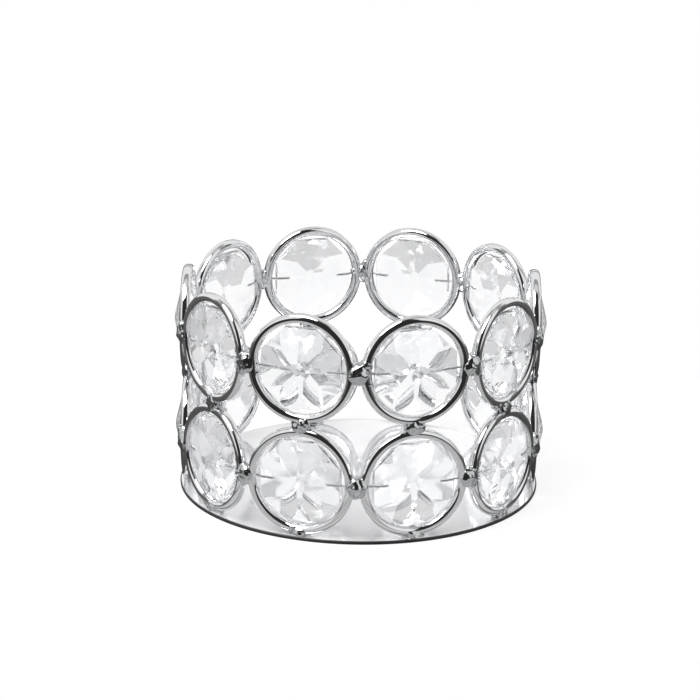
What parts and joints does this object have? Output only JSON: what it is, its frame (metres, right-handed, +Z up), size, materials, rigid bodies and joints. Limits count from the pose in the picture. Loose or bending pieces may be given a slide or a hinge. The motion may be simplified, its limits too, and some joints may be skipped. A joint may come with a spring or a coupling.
{
  "type": "crystal candle holder",
  "caption": "Round candle holder: two stacked tiers of chromed hoops on a polished plate, each hoop holding a cut crystal that turns on wire pins, around an open candle space.",
  "frame": {"origin": "centre of the base plate's underside", "axes": "+Z up along the holder's axis; -Y is the front, midway between two hoops"},
  "size_m": [0.084, 0.0858, 0.0504],
  "materials": {
    "plate": "polished",
    "hoop": "polished",
    "crystal": "cut and polished",
    "wire": "drawn wire",
    "solder": "plated solder"
  },
  "bodies": {
    "holder": {"base_plate": "plate", "base_joints": "solder", "tier_joints": "solder", "upper_hoop_01": "hoop", "upper_hoop_02": "hoop", "upper_hoop_03": "hoop", "upper_hoop_04": "hoop", "upper_hoop_05": "hoop", "upper_hoop_06": "hoop", "upper_hoop_07": "hoop", "upper_hoop_08": "hoop", "upper_hoop_09": "hoop", "upper_hoop_10": "hoop", "upper_side_joints": "solder", "upper_crystal_pins": "wire", "lower_hoop_01": "hoop", "lower_hoop_02": "hoop", "lower_hoop_03": "hoop", "lower_hoop_04": "hoop", "lower_hoop_05": "hoop", "lower_hoop_06": "hoop", "lower_hoop_07": "hoop", "lower_hoop_08": "hoop", "lower_hoop_09": "hoop", "lower_hoop_10": "hoop", "lower_side_joints": "solder", "lower_crystal_pins": "wire"},
    "upper_crystal_01": {"upper_crystal_01": "crystal"},
    "upper_crystal_02": {"upper_crystal_02": "crystal"},
    "upper_crystal_03": {"upper_crystal_03": "crystal"},
    "upper_crystal_04": {"upper_crystal_04": "crystal"},
    "upper_crystal_05": {"upper_crystal_05": "crystal"},
    "upper_crystal_06": {"upper_crystal_06": "crystal"},
    "upper_crystal_07": {"upper_crystal_07": "crystal"},
    "upper_crystal_08": {"upper_crystal_08": "crystal"},
    "upper_crystal_09": {"upper_crystal_09": "crystal"},
    "upper_crystal_10": {"upper_crystal_10": "crystal"},
    "lower_crystal_01": {"lower_crystal_01": "crystal"},
    "lower_crystal_02": {"lower_crystal_02": "crystal"},
    "lower_crystal_03": {"lower_crystal_03": "crystal"},
    "lower_crystal_04": {"lower_crystal_04": "crystal"},
    "lower_crystal_05": {"lower_crystal_05": "crystal"},
    "lower_crystal_06": {"lower_crystal_06": "crystal"},
    "lower_crystal_07": {"lower_crystal_07": "crystal"},
    "lower_crystal_08": {"lower_crystal_08": "crystal"},
    "lower_crystal_09": {"lower_crystal_09": "crystal"},
    "lower_crystal_10": {"lower_crystal_10": "crystal"}
  },
  "joints": [
    {"name": "upper_crystal_01_turn", "type": "hinge", "parent": "holder", "child": "upper_crystal_01", "pos_m": [0.01205, -0.03709, 0.0383], "axis": [0.9511, 0.309, 0], "continuous": true},
    {"name": "upper_crystal_02_turn", "type": "hinge", "parent": "holder", "child": "upper_crystal_02", "pos_m": [0.03155, -0.02292, 0.0383], "axis": [0.5878, 0.809, 0], "continuous": true},
    {"name": "upper_crystal_03_turn", "type": "hinge", "parent": "holder", "child": "upper_crystal_03", "pos_m": [0.03899, 0, 0.0383], "axis": [0, 1, 0], "continuous": true},
    {"name": "upper_crystal_04_turn", "type": "hinge", "parent": "holder", "child": "upper_crystal_04", "pos_m": [0.03155, 0.02292, 0.0383], "axis": [-0.5878, 0.809, 0], "continuous": true},
    {"name": "upper_crystal_05_turn", "type": "hinge", "parent": "holder", "child": "upper_crystal_05", "pos_m": [0.01205, 0.03709, 0.0383], "axis": [-0.9511, 0.309, 0], "continuous": true},
    {"name": "upper_crystal_06_turn", "type": "hinge", "parent": "holder", "child": "upper_crystal_06", "pos_m": [-0.01205, 0.03709, 0.0383], "axis": [-0.9511, -0.309, 0], "continuous": true},
    {"name": "upper_crystal_07_turn", "type": "hinge", "parent": "holder", "child": "upper_crystal_07", "pos_m": [-0.03155, 0.02292, 0.0383], "axis": [-0.5878, -0.809, 0], "continuous": true},
    {"name": "upper_crystal_08_turn", "type": "hinge", "parent": "holder", "child": "upper_crystal_08", "pos_m": [-0.03899, 0, 0.0383], "axis": [0, -1, 0], "continuous": true},
    {"name": "upper_crystal_09_turn", "type": "hinge", "parent": "holder", "child": "upper_crystal_09", "pos_m": [-0.03155, -0.02292, 0.0383], "axis": [0.5878, -0.809, 0], "continuous": true},
    {"name": "upper_crystal_10_turn", "type": "hinge", "parent": "holder", "child": "upper_crystal_10", "pos_m": [-0.01205, -0.03709, 0.0383], "axis": [0.9511, -0.309, 0], "continuous": true},
    {"name": "lower_crystal_01_turn", "type": "hinge", "parent": "holder", "child": "lower_crystal_01", "pos_m": [0.01205, -0.03709, 0.0131], "axis": [0.9511, 0.309, 0], "continuous": true},
    {"name": "lower_crystal_02_turn", "type": "hinge", "parent": "holder", "child": "lower_crystal_02", "pos_m": [0.03155, -0.02292, 0.0131], "axis": [0.5878, 0.809, 0], "continuous": true},
    {"name": "lower_crystal_03_turn", "type": "hinge", "parent": "holder", "child": "lower_crystal_03", "pos_m": [0.03899, 0, 0.0131], "axis": [0, 1, 0], "continuous": true},
    {"name": "lower_crystal_04_turn", "type": "hinge", "parent": "holder", "child": "lower_crystal_04", "pos_m": [0.03155, 0.02292, 0.0131], "axis": [-0.5878, 0.809, 0], "continuous": true},
    {"name": "lower_crystal_05_turn", "type": "hinge", "parent": "holder", "child": "lower_crystal_05", "pos_m": [0.01205, 0.03709, 0.0131], "axis": [-0.9511, 0.309, 0], "continuous": true},
    {"name": "lower_crystal_06_turn", "type": "hinge", "parent": "holder", "child": "lower_crystal_06", "pos_m": [-0.01205, 0.03709, 0.0131], "axis": [-0.9511, -0.309, 0], "continuous": true},
    {"name": "lower_crystal_07_turn", "type": "hinge", "parent": "holder", "child": "lower_crystal_07", "pos_m": [-0.03155, 0.02292, 0.0131], "axis": [-0.5878, -0.809, 0], "continuous": true},
    {"name": "lower_crystal_08_turn", "type": "hinge", "parent": "holder", "child": "lower_crystal_08", "pos_m": [-0.03899, 0, 0.0131], "axis": [0, -1, 0], "continuous": true},
    {"name": "lower_crystal_09_turn", "type": "hinge", "parent": "holder", "child": "lower_crystal_09", "pos_m": [-0.03155, -0.02292, 0.0131], "axis": [0.5878, -0.809, 0], "continuous": true},
    {"name": "lower_crystal_10_turn", "type": "hinge", "parent": "holder", "child": "lower_crystal_10", "pos_m": [-0.01205, -0.03709, 0.0131], "axis": [0.9511, -0.309, 0], "continuous": true}
  ]
}
